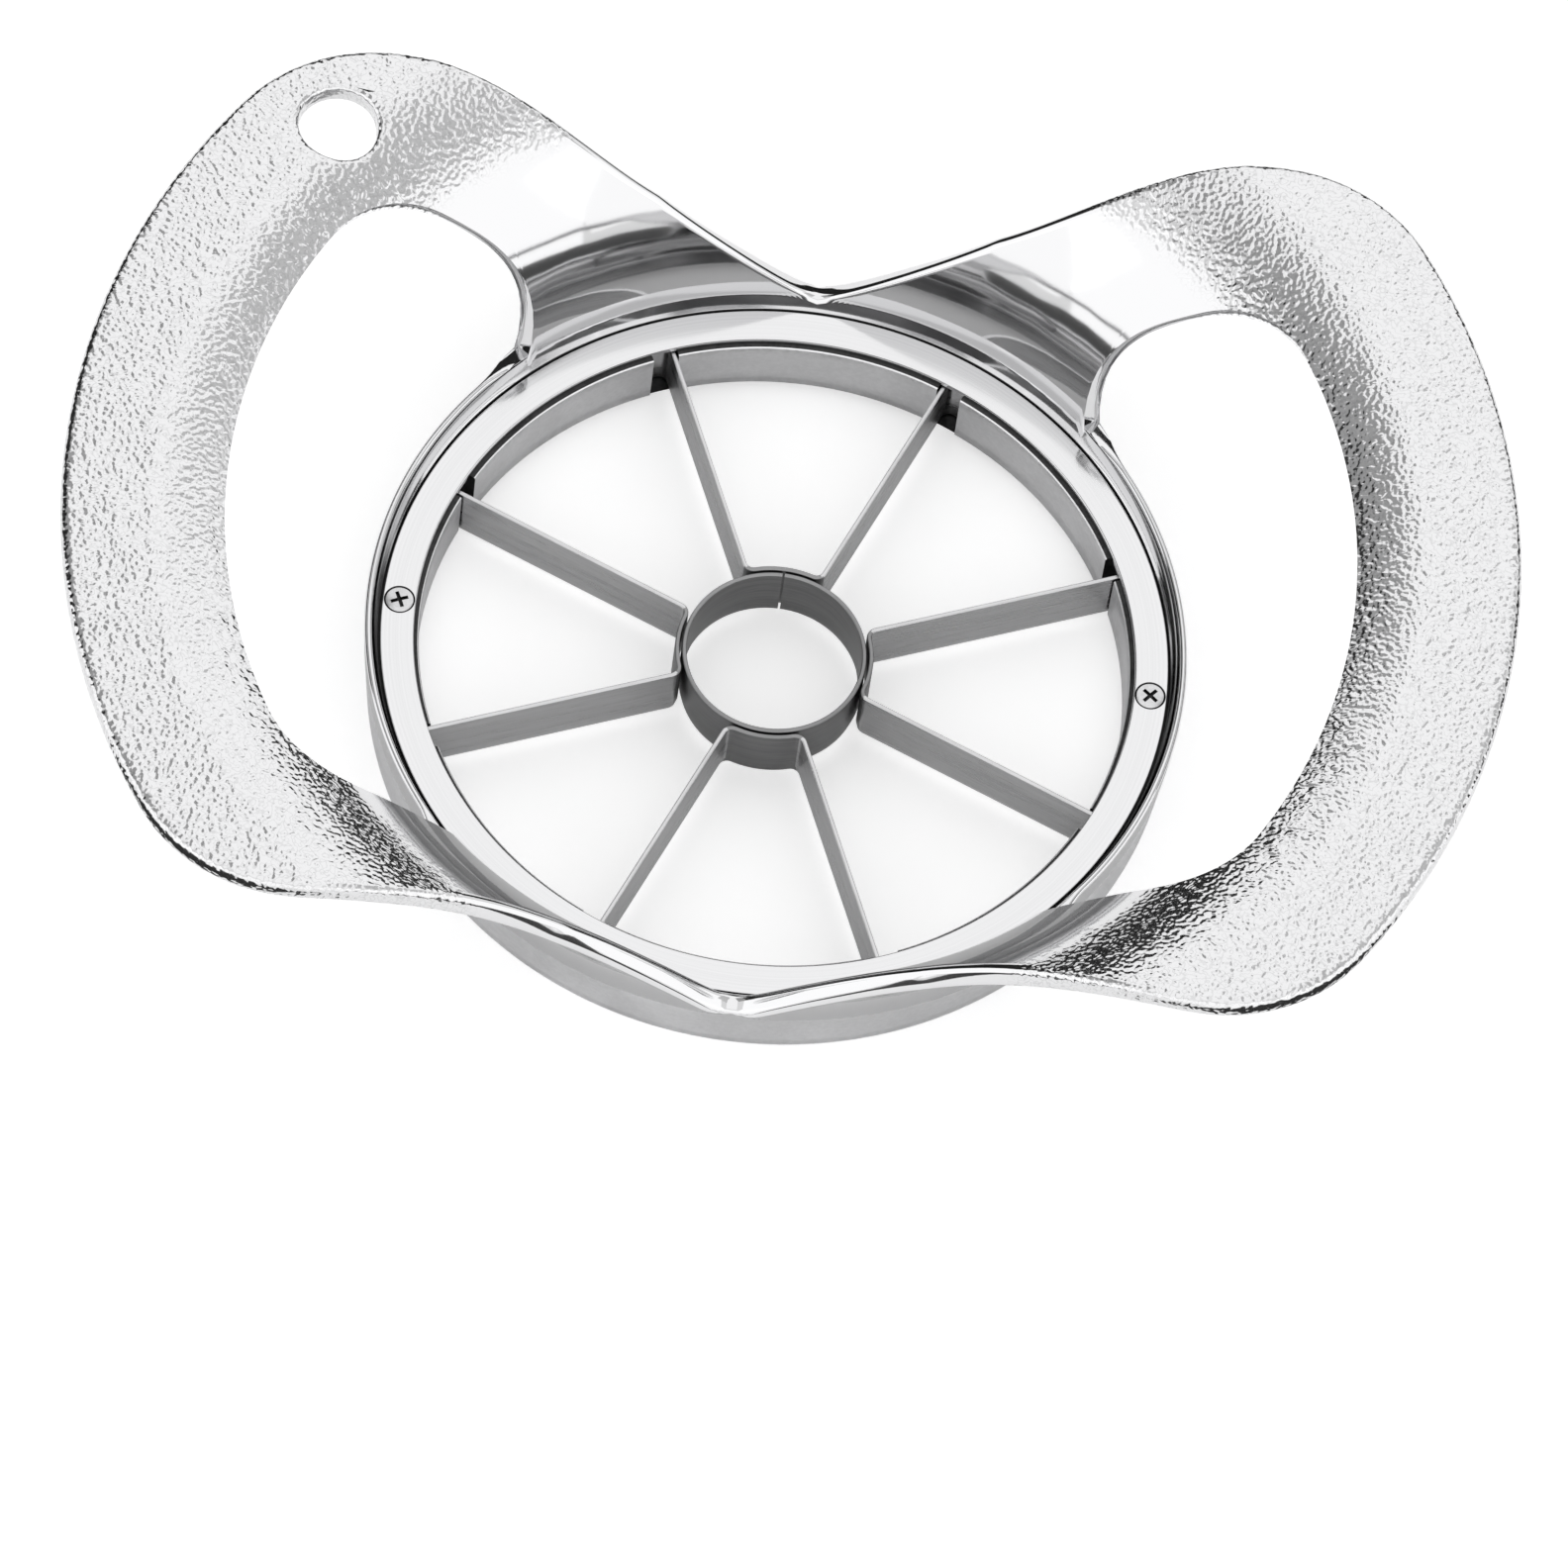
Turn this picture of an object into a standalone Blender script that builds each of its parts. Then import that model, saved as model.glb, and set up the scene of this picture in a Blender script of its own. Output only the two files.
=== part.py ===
"""Apple slicer and wedger: a cast frame with two raised loop handles, eight blade arms and a core ring.

Metres, +Z up. The slicer stands on the flat foot of its ring at z = 0, with the ring's axis on Z.
The two handles lie along X. Angles in the comments are in plan, anticlockwise from +X.
"""

import math

import bmesh
import bpy
from mathutils import Matrix, Vector

# Ring of the frame
RING_HEIGHT = 0.0110  # foot to the top of the cover ring
BORE_RADIUS = 0.0453
BORE_CHAMFER = 0.0016
FOOT_RADIUS = 0.0515
WALL_RADIUS = 0.0522  # outside of the ring, just under the flare
WALL_TOP_DROP = 0.0015  # from the cover's top down to where the flare leaves the wall
RIM_RADIUS = 0.0524  # outside of the low rim beside each finger opening
RIM_RISE = 0.0030  # that rim above the cover's top

# Flare: a superellipse quadrant turned round Z, which carries both handles
FLARE_START_RADIUS = 0.0516
FLARE_START_RISE = 0.0020
FLARE_CREST_RADIUS = 0.0805
FLARE_CREST_RISE = 0.0323
FLARE_POWER = 1.7
FLARE_THICKNESS = 0.0030
FLARE_UNDER_RADIUS = 0.0544
FLARE_UNDER_RISE = 0.0010

# Handles, in plan
HANDLE_END_RADIUS = 0.0915
HANDLE_CORNER_RADIUS = 0.0225
ARM_WIDTH = 0.0183  # from a finger opening out to the side of its handle
SHOULDER_REACH = 0.0220
SHOULDER_SLOPE = 0.08
VALLEY_RISE = 0.0015  # lowest point of the edge between the handles, above the cover's top
VALLEY_SLOPE = 0.77

# Finger openings, in plan
OPENING_END_RADIUS = 0.0720
OPENING_HALF_DEPTH = 0.0431
OPENING_CORNER_RADIUS = 0.0154
OPENING_HEEL_RADIUS = 0.0044
OPENING_INNER_OFFSET = 0.0034  # of the centre of the inner arc, past the ring's axis
RIM_RUN_IN = 0.0050  # over which the low rim rises into the flare

# Hanging hole in the left handle
HANG_HOLE_RADIUS = 0.0050
HANG_HOLE_X = -0.0635
HANG_HOLE_Y = 0.0496

# Cover ring that traps the blade ends
COVER_INNER_RADIUS = 0.0460
COVER_OUTER_RADIUS = 0.0503
COVER_THICKNESS = 0.0008
COVER_CHAMFER = 0.0001

# Blades and core ring
BLADE_COUNT = 4
STRIP_THICKNESS = 0.0006
STRIP_HEIGHT = 0.0085
CUTTING_EDGE_HEIGHT = 0.0012
CUTTING_EDGE_SHARE = 0.2
BEND_RADIUS = 0.0009
CORE_OUTER_RADIUS = 0.0118
CORE_SEAM_GAP = 0.0003
SLOT_WIDTH = 0.0034
SLOT_DEPTH = 0.0032  # from the bore into the wall
TAB_LENGTH = 0.0022

# Countersunk screws
SCREW_HEAD_RADIUS = 0.0018
SCREW_HEAD_HEIGHT = 0.0009
SCREW_SHANK_RADIUS = 0.0010
SCREW_LENGTH = 0.0062
CROSS_LENGTH = 0.0021
CROSS_WIDTH = 0.0005
CROSS_DEPTH = 0.0006

# Fits
CLEARANCE = 0.0003  # between pieces that touch
SCREW_CLEARANCE = 0.0002
OVERRUN = 0.0100  # how far a cutter runs past what it cuts
MERGE_DISTANCE = 0.000001

THICKNESS_GROUP = "thickness"

# Smoothness
RING_STEPS = 96
FLARE_STEPS = 12
SHOULDER_STEPS = 12
VALLEY_STEPS = 10
ARC_STEP_DEGREES = 6.0
BEND_STEPS = 3

LEDGE_HEIGHT = RING_HEIGHT - COVER_THICKNESS - CLEARANCE
LIP_RADIUS = COVER_OUTER_RADIUS + CLEARANCE
HANDLE_TOP = RING_HEIGHT + FLARE_CREST_RISE
HANDLE_HALF_DEPTH = OPENING_HALF_DEPTH + ARM_WIDTH
FLARE_MID_RADIUS = (FLARE_START_RADIUS + FLARE_UNDER_RADIUS) / 2
FLARE_MID_RISE = (FLARE_START_RISE + FLARE_UNDER_RISE) / 2
CREST_MID_RISE = FLARE_CREST_RISE - FLARE_THICKNESS / 2
COVER_MID_RADIUS = (COVER_INNER_RADIUS + COVER_OUTER_RADIUS) / 2
STRIP_TOP = LEDGE_HEIGHT
STRIP_BOTTOM = STRIP_TOP - STRIP_HEIGHT
ARM_HALF_ANGLE = math.pi / (2 * BLADE_COUNT)


def clear_scene():
    for obj in list(bpy.data.objects):
        bpy.data.objects.remove(obj, do_unlink=True)


def new_collection(name):
    collection = bpy.data.collections.new(name)
    bpy.context.scene.collection.children.link(collection)
    return collection


def new_material(name, color, roughness, metallic=1.0):
    material = bpy.data.materials.new(name)
    material.use_nodes = True
    shader = material.node_tree.nodes["Principled BSDF"]
    shader.inputs["Base Color"].default_value = (*color, 1.0)
    shader.inputs["Roughness"].default_value = roughness
    shader.inputs["Metallic"].default_value = metallic
    return material


def add_object(name, data, collection, material=None):
    obj = bpy.data.objects.new(name, data)
    collection.objects.link(obj)
    if material:
        data.materials.append(material)
    return obj


def make_cutter(obj):
    obj.hide_render = True
    obj.display_type = "WIRE"
    return obj


def polar(radius, angle):
    return radius * math.cos(angle), radius * math.sin(angle)


def arc(center, radius, start, end):
    """Points along an arc, both ends included; the angles are in radians."""
    count = max(2, math.ceil(abs(end - start) / math.radians(ARC_STEP_DEGREES)))
    points = []
    for i in range(count + 1):
        dx, dy = polar(radius, start + (end - start) * i / count)
        points.append((center[0] + dx, center[1] + dy))
    return points


def smooth_rise(share):
    return share * share * (3 - 2 * share)


def turned(name, profile, collection, material=None):
    """A closed profile of (radius, height) points, turned round Z."""
    mesh = bpy.data.meshes.new(name)
    shape = bmesh.new()
    verts = [shape.verts.new((radius, 0, height)) for radius, height in profile]
    for first, second in zip(verts, verts[1:] + verts[:1]):
        shape.edges.new((first, second))
    shape.to_mesh(mesh)
    shape.free()
    obj = add_object(name, mesh, collection, material)
    screw = obj.modifiers.new("Turn", "SCREW")
    screw.steps = screw.render_steps = RING_STEPS
    screw.use_merge_vertices = True
    screw.merge_threshold = MERGE_DISTANCE
    return obj


def plate(name, outline, bottom, top, collection):
    """A flat outline of (x, y) points, filled and raised from bottom to top, as a mesh."""
    curve = bpy.data.curves.new(name, "CURVE")
    curve.dimensions = "2D"
    curve.fill_mode = "BOTH"
    curve.extrude = (top - bottom) / 2
    spline = curve.splines.new("POLY")
    spline.points.add(len(outline) - 1)
    for point, (x, y) in zip(spline.points, outline):
        point.co = (x, y, 0, 1)
    spline.use_cyclic_u = True
    guide = add_object(name + "_guide", curve, collection)
    bpy.context.view_layer.update()
    graph = bpy.context.evaluated_depsgraph_get()
    mesh = bpy.data.meshes.new_from_object(guide.evaluated_get(graph))
    bpy.data.objects.remove(guide, do_unlink=True)
    shape = bmesh.new()
    shape.from_mesh(mesh)
    bmesh.ops.remove_doubles(shape, verts=shape.verts, dist=MERGE_DISTANCE)
    bmesh.ops.translate(shape, verts=shape.verts, vec=(0, 0, (bottom + top) / 2))
    bmesh.ops.recalc_face_normals(shape, faces=shape.faces)
    shape.to_mesh(mesh)
    shape.free()
    return add_object(name, mesh, collection)


def cut(obj, cutter, operation="DIFFERENCE"):
    modifier = obj.modifiers.new(cutter.name, "BOOLEAN")
    modifier.operation = operation
    modifier.solver = "EXACT"
    modifier.object = cutter


def flare_shares(angle):
    """Shares of the way out and up along the superellipse quadrant of the flare."""
    return 1 - math.cos(angle) ** (2 / FLARE_POWER), math.sin(angle) ** (2 / FLARE_POWER)


def flare_point(angle, start_radius, start_rise, crest_rise):
    out, up = flare_shares(angle)
    radius = start_radius + (FLARE_CREST_RADIUS - start_radius) * out
    return radius, RING_HEIGHT + start_rise + (crest_rise - start_rise) * up


def flare_sides(angle):
    """Matching (radius, height) points on the flare's upper and under side."""
    upper = flare_point(angle, FLARE_START_RADIUS, FLARE_START_RISE, FLARE_CREST_RISE)
    crest_under = FLARE_CREST_RISE - FLARE_THICKNESS
    under = flare_point(angle, FLARE_UNDER_RADIUS, FLARE_UNDER_RISE, crest_under)
    return upper, under


def frame_profile():
    """Section of the ring and its flare, clockwise with +X to the right: down the outer side."""
    outer_edge = HANDLE_END_RADIUS + OVERRUN
    inside = [
        (BORE_RADIUS + BORE_CHAMFER, 0),
        (BORE_RADIUS, BORE_CHAMFER),
        (BORE_RADIUS, LEDGE_HEIGHT),
        (LIP_RADIUS, LEDGE_HEIGHT),
        (LIP_RADIUS, RING_HEIGHT),
    ]
    sides = [flare_sides(math.pi / 2 * i / FLARE_STEPS) for i in range(FLARE_STEPS + 1)]
    upper = [side[0] for side in sides]
    under = [side[1] for side in sides]
    outside = [
        (WALL_RADIUS, RING_HEIGHT - WALL_TOP_DROP),
        (FOOT_RADIUS, 0),
    ]
    edge = [(outer_edge, HANDLE_TOP), (outer_edge, HANDLE_TOP - FLARE_THICKNESS)]
    return inside + upper + edge + under[::-1] + outside


def tangent_corner(end_radius, half_depth, corner_radius):
    """Centre of a corner arc that touches the end arc from inside and the line y = half_depth."""
    y = half_depth - corner_radius
    x = math.sqrt((end_radius - corner_radius) ** 2 - y * y)
    return x, y


def valley_half_depth(x):
    """Where the edge between the handles crosses the middle of the flare, in Y."""
    rise = math.hypot(VALLEY_SLOPE * x, VALLEY_RISE)
    share = max(0, rise - FLARE_MID_RISE) / (CREST_MID_RISE - FLARE_MID_RISE)
    inner_share = (1 - share**FLARE_POWER) ** (1 / FLARE_POWER)
    radius = FLARE_CREST_RADIUS - (FLARE_CREST_RADIUS - FLARE_MID_RADIUS) * inner_share
    return math.sqrt(radius * radius - x * x)


def handle_edge():
    """Outer edge in plan from the tip of the right handle to the middle of the valley."""
    corner = tangent_corner(HANDLE_END_RADIUS, HANDLE_HALF_DEPTH, HANDLE_CORNER_RADIUS)
    tilt = math.atan2(corner[1], corner[0])
    edge = arc((0, 0), HANDLE_END_RADIUS, 0, tilt)
    edge += arc(corner, HANDLE_CORNER_RADIUS, tilt, math.pi / 2)[1:]
    length = corner[0] - SHOULDER_REACH
    start = valley_half_depth(SHOULDER_REACH)
    for i in range(1, SHOULDER_STEPS):
        share = 1 - i / SHOULDER_STEPS
        lead = SHOULDER_SLOPE * length * share * (1 - share) ** 2
        y = start + (HANDLE_HALF_DEPTH - start) * smooth_rise(share) + lead
        edge.append((SHOULDER_REACH + length * share, y))
    for i in range(VALLEY_STEPS + 1):
        share = 1 - i / VALLEY_STEPS
        x = SHOULDER_REACH * share * (1 + share) / 2
        edge.append((x, valley_half_depth(x)))
    return edge


def edge_line(x, y):
    """Points of the line square to the flare through (x, y) in plan, past both of its sides."""
    radius = math.hypot(x, y)
    out = (radius - FLARE_MID_RADIUS) / (FLARE_CREST_RADIUS - FLARE_MID_RADIUS)
    out = min(max(out, 0), 1)
    angle = math.acos((1 - out) ** (FLARE_POWER / 2))
    upper, under = flare_sides(angle)
    extra = max(0, radius - FLARE_CREST_RADIUS)
    along = Vector((x, y, 0)) / radius
    top = along * (upper[0] + extra) + Vector((0, 0, upper[1]))
    bottom = along * (under[0] + extra) + Vector((0, 0, under[1]))
    through = top - bottom
    return top + through, bottom - through


def handle_body(name, collection):
    """Everything inside the handles' outer edge: its sides stand square to the flare."""
    edge = handle_edge()
    edge += [(-x, y) for x, y in edge[-2::-1]]
    lines = [edge_line(x, y) for x, y in edge]
    tops = [top for top, bottom in lines]
    bottoms = [bottom for top, bottom in lines]
    feet = [Vector((point.x, point.y, -OVERRUN)) for point in bottoms]
    flat = Matrix.Scale(0, 3, Vector((0, 1, 0)))
    rows = [[flat @ point for point in tops], tops, bottoms, feet, [flat @ point for point in feet]]
    mesh = bpy.data.meshes.new(name)
    shape = bmesh.new()
    chains = []
    for row in rows:
        verts = [shape.verts.new(point) for point in row]
        chains.append([shape.edges.new(pair) for pair in zip(verts, verts[1:])])
    for upper, lower in zip(chains, chains[1:]):
        bmesh.ops.bridge_loops(shape, edges=upper + lower)
    bmesh.ops.remove_doubles(shape, verts=shape.verts, dist=MERGE_DISTANCE)
    half = shape.verts[:] + shape.edges[:] + shape.faces[:]
    bmesh.ops.mirror(shape, geom=half, axis="Y", merge_dist=MERGE_DISTANCE)
    bmesh.ops.triangulate(shape, faces=shape.faces)
    bmesh.ops.recalc_face_normals(shape, faces=shape.faces)
    shape.to_mesh(mesh)
    shape.free()
    return make_cutter(add_object(name, mesh, collection))


def opening_heel():
    """Centre of the small arc where a finger opening leaves the ring."""
    y = OPENING_HALF_DEPTH - OPENING_HEEL_RADIUS
    reach = RIM_RADIUS + OPENING_INNER_OFFSET + OPENING_HEEL_RADIUS
    return math.sqrt(reach * reach - y * y) - OPENING_INNER_OFFSET, y


def opening_outline():
    """The finger opening on the +X side."""
    corner = tangent_corner(OPENING_END_RADIUS, OPENING_HALF_DEPTH, OPENING_CORNER_RADIUS)
    tilt = math.atan2(corner[1], corner[0])
    heel = opening_heel()
    heel_tilt = math.atan2(heel[1], heel[0] + OPENING_INNER_OFFSET)
    inner_center = (-OPENING_INNER_OFFSET, 0)
    half = arc((0, 0), OPENING_END_RADIUS, 0, tilt)
    half += arc(corner, OPENING_CORNER_RADIUS, tilt, math.pi / 2)[1:]
    half += arc(heel, OPENING_HEEL_RADIUS, math.pi / 2, math.pi + heel_tilt)
    half += arc(inner_center, RIM_RADIUS + OPENING_INNER_OFFSET, heel_tilt, 0)[1:]
    lower = [(x, -y) for x, y in half[-2:0:-1]]
    return half + lower


def rim_relief_outline():
    """Side view along X of what is cut from above the low rims, as (y, z) points."""
    heel = opening_heel()
    floor = RING_HEIGHT + RIM_RISE
    half = []
    for i in range(BEND_STEPS + 1):
        share = i / BEND_STEPS
        half.append((heel[1] - RIM_RUN_IN * (1 - share), floor + RIM_RUN_IN * 2 * share * share))
    half.append((heel[1], HANDLE_TOP))
    left = [(-y, z) for y, z in half[::-1]]
    return left + half


def mirror_to_left(outline):
    return [(-x, y) for x, y in outline[::-1]]


def arm_frame(angle, side):
    """Rotates a shape from along +X to an arm's angle; side is +1 or -1 and flips it in Y."""
    return Matrix.Rotation(angle, 4, "Z") @ Matrix.Scale(side, 4, Vector((0, 1, 0)))


def slot_cutter(name, angle, side, collection):
    """Pocket for one blade end: the arm lies along its near side and the tab crosses it."""
    near = -(STRIP_THICKNESS / 2 + CLEARANCE)
    size = Vector((OVERRUN + SLOT_DEPTH, SLOT_WIDTH, OVERRUN + RING_HEIGHT))
    middle = Vector((BORE_RADIUS + SLOT_DEPTH, near, STRIP_BOTTOM - CLEARANCE))
    middle += Vector((-size.x, size.y, size.z)) / 2
    mesh = bpy.data.meshes.new(name)
    shape = bmesh.new()
    place = arm_frame(angle, side) @ Matrix.Translation(middle) @ Matrix.Diagonal((*size, 1))
    bmesh.ops.create_cube(shape, size=1, matrix=place)
    bmesh.ops.recalc_face_normals(shape, faces=shape.faces)
    shape.to_mesh(mesh)
    shape.free()
    return make_cutter(add_object(name, mesh, collection))


def round_cutter(name, x, y, bottom, top, bottom_radius, top_radius, collection):
    """A cylinder or a cone that stands along Z."""
    mesh = bpy.data.meshes.new(name)
    shape = bmesh.new()
    place = Matrix.Translation((x, y, (bottom + top) / 2))
    bmesh.ops.create_cone(
        shape,
        cap_ends=True,
        segments=RING_STEPS // 4,
        radius1=bottom_radius,
        radius2=top_radius,
        depth=top - bottom,
        matrix=place,
    )
    shape.to_mesh(mesh)
    shape.free()
    return make_cutter(add_object(name, mesh, collection))


def blade_arms():
    """(angle, side) of the eight arms: side points from an arm away from its partner on the strip."""
    arms = []
    for blade in range(BLADE_COUNT):
        middle = 2 * math.pi * blade / BLADE_COUNT
        arms.append((middle + ARM_HALF_ANGLE, 1))
        arms.append((middle - ARM_HALF_ANGLE, -1))
    return arms


def make_frame(parts, cutters, material):
    frame = turned("frame", frame_profile(), parts, material)

    cut(frame, handle_body("handle_body", cutters), "INTERSECT")

    opening = opening_outline()
    for side, mirror in (("right", list), ("left", mirror_to_left)):
        name = side + "_finger_opening"
        cutter = plate(name, mirror(opening), -OVERRUN, HANDLE_TOP + OVERRUN, cutters)
        cut(frame, make_cutter(cutter))

    reach = RIM_RADIUS + OPENING_HEEL_RADIUS
    relief = plate("rim_relief", rim_relief_outline(), -reach, reach, cutters)
    stand = Matrix(((0, 0, 1, 0), (1, 0, 0, 0), (0, 1, 0, 0), (0, 0, 0, 1)))
    relief.data.transform(stand)
    cut(frame, make_cutter(relief))

    low, high = HANDLE_TOP - OVERRUN, HANDLE_TOP + OVERRUN
    hole = round_cutter(
        "hang_hole", HANG_HOLE_X, HANG_HOLE_Y, low, high, HANG_HOLE_RADIUS, HANG_HOLE_RADIUS, cutters
    )
    cut(frame, hole)

    for index, (angle, side) in enumerate(blade_arms(), start=1):
        cut(frame, slot_cutter(f"blade_slot_{index}", angle, side, cutters))

    bottom = LEDGE_HEIGHT - SCREW_LENGTH
    bore = SCREW_SHANK_RADIUS + CLEARANCE
    for side, x in (("left", -COVER_MID_RADIUS), ("right", COVER_MID_RADIUS)):
        cutter = round_cutter(side + "_screw_bore", x, 0, bottom, high, bore, bore, cutters)
        cut(frame, cutter)
    return frame


def make_cover(parts, cutters, material):
    bottom = RING_HEIGHT - COVER_THICKNESS
    profile = [
        (COVER_INNER_RADIUS, bottom),
        (COVER_INNER_RADIUS, RING_HEIGHT - COVER_CHAMFER),
        (COVER_INNER_RADIUS + COVER_CHAMFER, RING_HEIGHT),
        (COVER_OUTER_RADIUS - COVER_CHAMFER, RING_HEIGHT),
        (COVER_OUTER_RADIUS, RING_HEIGHT - COVER_CHAMFER),
        (COVER_OUTER_RADIUS, bottom),
    ]
    cover = turned("retaining_ring", profile, parts, material)
    slope = (SCREW_HEAD_RADIUS - SCREW_SHANK_RADIUS) / SCREW_HEAD_HEIGHT
    wide = SCREW_HEAD_RADIUS + SCREW_CLEARANCE
    low = RING_HEIGHT - SCREW_HEAD_HEIGHT
    high = RING_HEIGHT + SCREW_HEAD_HEIGHT
    narrow = wide - slope * SCREW_HEAD_HEIGHT
    wider = wide + slope * SCREW_HEAD_HEIGHT
    for side, x in (("left", -COVER_MID_RADIUS), ("right", COVER_MID_RADIUS)):
        cutter = round_cutter(side + "_countersink", x, 0, low, high, narrow, wider, cutters)
        cut(cover, cutter)
    return cover


def blade_path():
    """Middle line in plan of the strip that opens towards +X: tab, arm, arc on the core, arm, tab."""
    hug = CORE_OUTER_RADIUS + CLEARANCE + STRIP_THICKNESS / 2
    tab_radius = BORE_RADIUS + SLOT_DEPTH - CLEARANCE - STRIP_THICKNESS / 2
    turn = BEND_RADIUS + STRIP_THICKNESS / 2
    # One arm along +X, its partner on the -Y side: it leaves the arc and ends in a tab towards +Y
    foot_angle = math.asin(turn / (hug + turn))
    foot_x = math.sqrt((hug + turn) ** 2 - turn * turn)
    steps = BEND_STEPS * 2
    foot = []
    for i in range(steps + 1):
        angle = math.pi - foot_angle - (math.pi / 2 - foot_angle) * i / steps
        dx, dy = polar(turn, angle)
        foot.append((foot_x + dx, dy - turn))
    tab = []
    for i in range(steps + 1):
        dx, dy = polar(turn, -math.pi / 2 + math.pi / 2 * i / steps)
        tab.append((tab_radius - turn + dx, turn + dy))
    tab.append((tab_radius, TAB_LENGTH))
    arm = [Vector((x, y, 0)) for x, y in foot + tab]
    upper = [arm_frame(ARM_HALF_ANGLE, 1) @ point for point in arm]
    lower = [arm_frame(-ARM_HALF_ANGLE, -1) @ point for point in arm]
    start = math.atan2(lower[0].y, lower[0].x)
    end = math.atan2(upper[0].y, upper[0].x)
    middle = [Vector((x, y, 0)) for x, y in arc((0, 0), hug, start, end)[1:-1]]
    return lower[::-1] + middle + upper


def ribbon(name, path, collection, material):
    """A strip on edge along a plan path, thinned to a cutting edge along its bottom."""
    mesh = bpy.data.meshes.new(name)
    shape = bmesh.new()
    heights = (STRIP_BOTTOM, STRIP_BOTTOM + CUTTING_EDGE_HEIGHT, STRIP_TOP)
    verts = [shape.verts.new((point.x, point.y, heights[0])) for point in path]
    edges = [shape.edges.new(pair) for pair in zip(verts, verts[1:])]
    for low, high in zip(heights, heights[1:]):
        grown = bmesh.ops.extrude_edge_only(shape, edges=edges)["geom"]
        moved = [item for item in grown if isinstance(item, bmesh.types.BMVert)]
        edges = [item for item in grown if isinstance(item, bmesh.types.BMEdge)]
        bmesh.ops.translate(shape, verts=moved, vec=(0, 0, high - low))
    bmesh.ops.recalc_face_normals(shape, faces=shape.faces)
    shape.to_mesh(mesh)
    shape.free()
    obj = add_object(name, mesh, collection, material)
    group = obj.vertex_groups.new(name=THICKNESS_GROUP)
    for vert in mesh.vertices:
        at_edge = vert.co.z < STRIP_BOTTOM + CUTTING_EDGE_HEIGHT / 2
        group.add([vert.index], CUTTING_EDGE_SHARE if at_edge else 1.0, "REPLACE")
    thicken(obj)
    return obj


def thicken(obj):
    solidify = obj.modifiers.new("Thickness", "SOLIDIFY")
    solidify.thickness = STRIP_THICKNESS
    solidify.offset = 0
    solidify.use_even_offset = True
    solidify.vertex_group = THICKNESS_GROUP


def make_blades(parts, material):
    """Four alike strips, which share one mesh and its thickness group."""
    names = ("blade_strip_right", "blade_strip_far", "blade_strip_left", "blade_strip_near")
    first = ribbon(names[0], blade_path(), parts, material)
    for index, name in enumerate(names[1:], start=1):
        blade = add_object(name, first.data, parts)
        blade.rotation_euler.z = 2 * math.pi * index / BLADE_COUNT
        thicken(blade)


def make_core(parts, material):
    """The band is bent round and its ends meet in a butt seam on the far side."""
    radius = CORE_OUTER_RADIUS - STRIP_THICKNESS / 2
    half_gap = CORE_SEAM_GAP / 2 / radius
    start = math.pi / 2 + half_gap
    end = math.pi / 2 + 2 * math.pi - half_gap
    path = [Vector((x, y, 0)) for x, y in arc((0, 0), radius, start, end)]
    return ribbon("core_ring", path, parts, material)


def make_screw(name, x, parts, cutters, material):
    bottom = RING_HEIGHT - SCREW_LENGTH
    neck = RING_HEIGHT - SCREW_HEAD_HEIGHT
    profile = [
        (0, RING_HEIGHT),
        (SCREW_HEAD_RADIUS, RING_HEIGHT),
        (SCREW_SHANK_RADIUS, neck),
        (SCREW_SHANK_RADIUS, bottom + SCREW_SHANK_RADIUS / 2),
        (SCREW_SHANK_RADIUS / 2, bottom),
        (0, bottom),
    ]
    mesh = bpy.data.meshes.new(name)
    shape = bmesh.new()
    verts = [shape.verts.new((radius, 0, height)) for radius, height in profile]
    for first, second in zip(verts, verts[1:]):
        shape.edges.new((first, second))
    shape.to_mesh(mesh)
    shape.free()
    screw = add_object(name, mesh, parts, material)
    screw.location.x = x
    turn = screw.modifiers.new("Turn", "SCREW")
    turn.steps = turn.render_steps = RING_STEPS // 4
    turn.use_merge_vertices = True
    turn.merge_threshold = MERGE_DISTANCE
    for index in range(2):
        cutter_name = f"{name}_cross_{index + 1}"
        mesh = bpy.data.meshes.new(cutter_name)
        shape = bmesh.new()
        size = Vector((CROSS_LENGTH, CROSS_WIDTH, 2 * CROSS_DEPTH))
        place = Matrix.Translation((x, 0, RING_HEIGHT))
        place = place @ Matrix.Rotation(math.pi / 2 * index + math.pi / 6, 4, "Z")
        bmesh.ops.create_cube(shape, size=1, matrix=place @ Matrix.Diagonal((*size, 1)))
        shape.to_mesh(mesh)
        shape.free()
        cut(screw, make_cutter(add_object(cutter_name, mesh, cutters)))
    return screw


def main():
    clear_scene()
    parts = new_collection("apple_slicer")
    cutters = new_collection("cutters")
    cast = new_material("cast_chrome", (0.80, 0.80, 0.81), 0.14)
    polished = new_material("polished_steel", (0.83, 0.83, 0.84), 0.10)
    blade = new_material("blade_steel", (0.50, 0.50, 0.50), 0.32)
    bright = new_material("screw_steel", (0.75, 0.75, 0.75), 0.20)
    make_frame(parts, cutters, cast)
    make_cover(parts, cutters, polished)
    make_blades(parts, blade)
    make_core(parts, blade)
    make_screw("screw_left", -COVER_MID_RADIUS, parts, cutters, bright)
    make_screw("screw_right", COVER_MID_RADIUS, parts, cutters, bright)
    for obj in parts.objects:
        obj.data.shade_smooth()


main()
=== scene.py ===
# Apple slicer and wedger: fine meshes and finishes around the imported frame. Metres, +Z up.
import math

import bmesh
import bpy
from mathutils import Matrix, Vector
from mathutils.geometry import interpolate_bezier


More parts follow.
